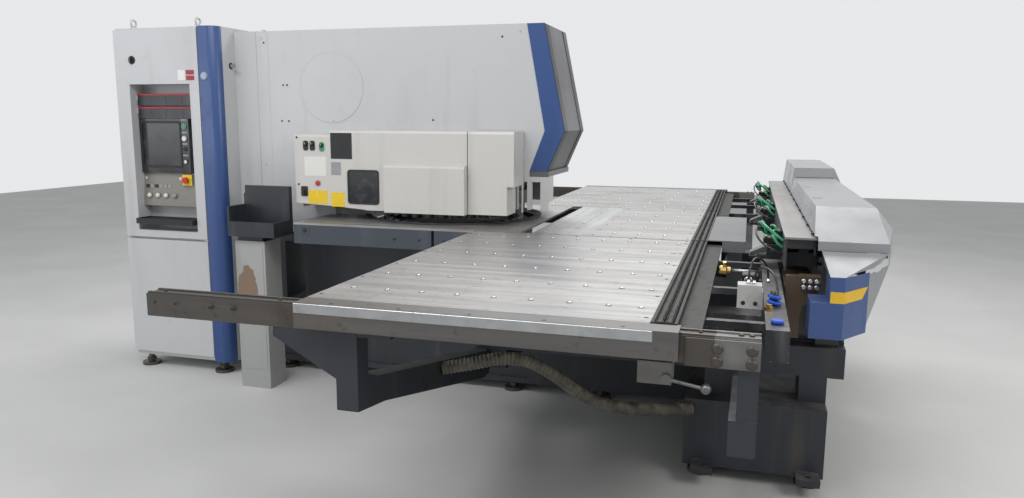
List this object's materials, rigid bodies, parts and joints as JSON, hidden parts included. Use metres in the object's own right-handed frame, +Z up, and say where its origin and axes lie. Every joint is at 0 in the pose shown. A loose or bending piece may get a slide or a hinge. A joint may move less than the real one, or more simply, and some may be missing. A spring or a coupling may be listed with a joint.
{
  "type": "turret punch press",
  "caption": "Sheet metal turret punch press with C frame, revolving tool turrets, travelling table, clamp carriage and control cabinet.",
  "frame": {"origin": "centre of the footprint, on the floor", "axes": "+X from the control cabinet towards the clamp carriage, +Y from the operator's side to the far side, +Z up"},
  "size_m": [4.472, 5.002, 2.274],
  "materials": {
    "frame_paint": "dark machine paint",
    "light_paint": "satin light grey paint",
    "cover_paint": "satin off white paint",
    "blue_paint": "satin blue paint",
    "grey_paint": "satin grey paint",
    "slate_paint": "satin slate paint",
    "table_steel": "worn ground steel",
    "rail_steel": "oily steel",
    "bright_steel": "ground steel",
    "aluminium_plate": "anodised",
    "brown_paint": "old brown paint",
    "brush_black": "bristles in a channel",
    "hose_grey": "corrugated",
    "hose_green": "air hose",
    "dark_glass": "tinted",
    "black_plastic": "matte",
    "red_plastic": "gloss",
    "green_plastic": "gloss",
    "white_plastic": "gloss",
    "blue_plastic": "gloss"
  },
  "bodies": {
    "press": {"c_frame": "frame_paint", "bed": "frame_paint", "levelling_feet": "rail_steel", "upper_cover": "light_paint", "nose_band": "blue_paint", "nose_face": "grey_paint", "turret_covers": "cover_paint", "turret_window": "dark_glass", "switch_plates": "black_plastic", "control_cabinet": "light_paint", "cabinet_corner": "blue_paint", "filler_panel": "light_paint", "centre_table": "table_steel", "insert_plate": "table_steel", "aprons": "slate_paint", "tray_upright": "slate_paint", "side_cabinet": "light_paint", "table_rails": "rail_steel", "outriggers": "slate_paint", "fasteners": "rail_steel", "centre_brush": "brush_black", "corrugated_hose": "hose_grey", "turret_skirt": "black_plastic", "table_extension": "grey_paint"},
    "table_carriage": {"side_tables": "table_steel", "edge_beams": "bright_steel", "link_frames": "frame_paint", "side_brushes": "brush_black", "cross_beam": "frame_paint", "beam_cover": "cover_paint", "end_caps": "blue_paint", "end_brackets": "brown_paint", "gauge_cylinder": "aluminium_plate"},
    "clamp_carriage": {"clamp_carriage": "frame_paint", "carriage_plate": "aluminium_plate", "clamp_bodies": "black_plastic", "air_hoses": "hose_green"},
    "clamp_jaws": {"clamp_jaws": "rail_steel"},
    "gauge_pin": {"gauge_pin": "bright_steel"},
    "table_screw": {"y_screw": "bright_steel"},
    "carriage_screw": {"x_screw": "bright_steel"},
    "upper_turret": {"upper_turret": "rail_steel"},
    "lower_turret": {"lower_turret": "rail_steel"},
    "tool": {"struck_punch": "bright_steel"},
    "striker": {"striker": "bright_steel"},
    "cabinet_door": {"upper_door": "light_paint", "screen_panel": "black_plastic", "operator_panel": "grey_paint"},
    "lower_cabinet_door": {"lower_door": "light_paint"},
    "door_lock": {"door_lock": "bright_steel"},
    "keyboard_shelf": {"keyboard_shelf": "black_plastic"},
    "emergency_stop": {"estop_button": "red_plastic"},
    "start_button": {"green_button": "green_plastic"},
    "white_button": {"white_button": "white_plastic"},
    "corner_button": {"corner_button": "blue_plastic"},
    "key_switch": {"key_switch": "bright_steel"},
    "turret_door": {"turret_door": "cover_paint"},
    "cover_button": {"cover_button": "red_plastic"},
    "selector_knob": {"selector_knob": "black_plastic"},
    "rail_lever": {"rail_lever": "bright_steel"}
  },
  "joints": [
    {"name": "table_slide", "type": "slide", "parent": "press", "child": "table_carriage", "axis": [-1, 0, 0], "range_m": [0, 1.25]},
    {"name": "carriage_slide", "type": "slide", "parent": "table_carriage", "child": "clamp_carriage", "axis": [0, 1, 0], "range_m": [-1.25, 1.25]},
    {"name": "jaw_hinge", "type": "hinge", "parent": "clamp_carriage", "child": "clamp_jaws", "pos_m": [1.782, 0, 1.098], "axis": [0, 1, 0], "range_deg": [0, 12]},
    {"name": "gauge_slide", "type": "slide", "parent": "table_carriage", "child": "gauge_pin", "axis": [0, 0, 1], "range_m": [0, 0.035]},
    {"name": "table_screw_turn", "type": "hinge", "parent": "press", "child": "table_screw", "pos_m": [0.877, 0.3, 0.56], "axis": [1, 0, 0], "continuous": true},
    {"name": "carriage_screw_turn", "type": "hinge", "parent": "table_carriage", "child": "carriage_screw", "pos_m": [2.067, 0, 1.192], "axis": [0, 1, 0], "continuous": true},
    {"name": "upper_turret_turn", "type": "hinge", "parent": "press", "child": "upper_turret", "pos_m": [-0.123, 0, 1.19], "axis": [0, 0, 1], "continuous": true},
    {"name": "lower_turret_turn", "type": "hinge", "parent": "press", "child": "lower_turret", "pos_m": [-0.123, 0, 0.96], "axis": [0, 0, 1], "continuous": true},
    {"name": "striker_stroke", "type": "slide", "parent": "press", "child": "striker", "axis": [0, 0, -1], "range_m": [0, 0.025]},
    {"name": "tool_stroke", "type": "slide", "parent": "upper_turret", "child": "tool", "axis": [0, 0, -1], "range_m": [0, 0.025]},
    {"name": "cabinet_door_hinge", "type": "hinge", "parent": "press", "child": "cabinet_door", "pos_m": [-1.622, -0.485, 1.5], "axis": [0, 0, 1], "range_deg": [0, 105]},
    {"name": "lower_door_hinge", "type": "hinge", "parent": "press", "child": "lower_cabinet_door", "pos_m": [-1.622, -0.485, 0.49], "axis": [0, 0, 1], "range_deg": [0, 105]},
    {"name": "door_lock_turn", "type": "hinge", "parent": "cabinet_door", "child": "door_lock", "pos_m": [-2.102, -0.495, 2.01], "axis": [0, 1, 0], "range_deg": [0, 90]},
    {"name": "keyboard_hinge", "type": "hinge", "parent": "cabinet_door", "child": "keyboard_shelf", "pos_m": [-1.908, -0.397, 0.992], "axis": [-1, 0, 0], "range_deg": [0, 50]},
    {"name": "emergency_stop_press", "type": "slide", "parent": "cabinet_door", "child": "emergency_stop", "axis": [0, 1, 0], "range_m": [0, 0.006], "stiffness_N_per_m": 500, "springref_m": -0.002},
    {"name": "start_press", "type": "slide", "parent": "cabinet_door", "child": "start_button", "axis": [0, 1, 0], "range_m": [0, 0.005], "stiffness_N_per_m": 500, "springref_m": -0.002},
    {"name": "white_press", "type": "slide", "parent": "cabinet_door", "child": "white_button", "axis": [0, 1, 0], "range_m": [0, 0.005], "stiffness_N_per_m": 500, "springref_m": -0.002},
    {"name": "corner_press", "type": "slide", "parent": "press", "child": "corner_button", "axis": [0, 1, 0], "range_m": [0, 0.005], "stiffness_N_per_m": 500, "springref_m": -0.002},
    {"name": "key_turn", "type": "hinge", "parent": "press", "child": "key_switch", "pos_m": [-1.48, -0.348, 1.974], "axis": [1, 0, 0], "range_deg": [0, 90]},
    {"name": "turret_door_hinge", "type": "hinge", "parent": "press", "child": "turret_door", "pos_m": [0.402, -0.282, 1.35], "axis": [0, 0, 1], "range_deg": [0, 90]},
    {"name": "cover_button_press", "type": "slide", "parent": "press", "child": "cover_button", "axis": [0, 1, 0], "range_m": [0, 0.005], "stiffness_N_per_m": 500, "springref_m": -0.002},
    {"name": "selector_turn", "type": "hinge", "parent": "press", "child": "selector_knob", "pos_m": [-0.911, -0.475, 1.21], "axis": [0, 1, 0], "range_deg": [-45, 45]},
    {"name": "rail_lever_turn", "type": "hinge", "parent": "press", "child": "rail_lever", "pos_m": [1.467, -2.45, 0.905], "axis": [0, 1, 0], "range_deg": [0, 60]}
  ],
  "couplings": [
    {"joint": "table_screw_turn", "follows": "table_slide", "rad_per_m": 157.08},
    {"joint": "carriage_screw_turn", "follows": "carriage_slide", "rad_per_m": 157.08},
    {"joint": "lower_turret_turn", "follows": "upper_turret_turn", "ratio": 1},
    {"joint": "tool_stroke", "follows": "striker_stroke", "ratio": 1}
  ]
}
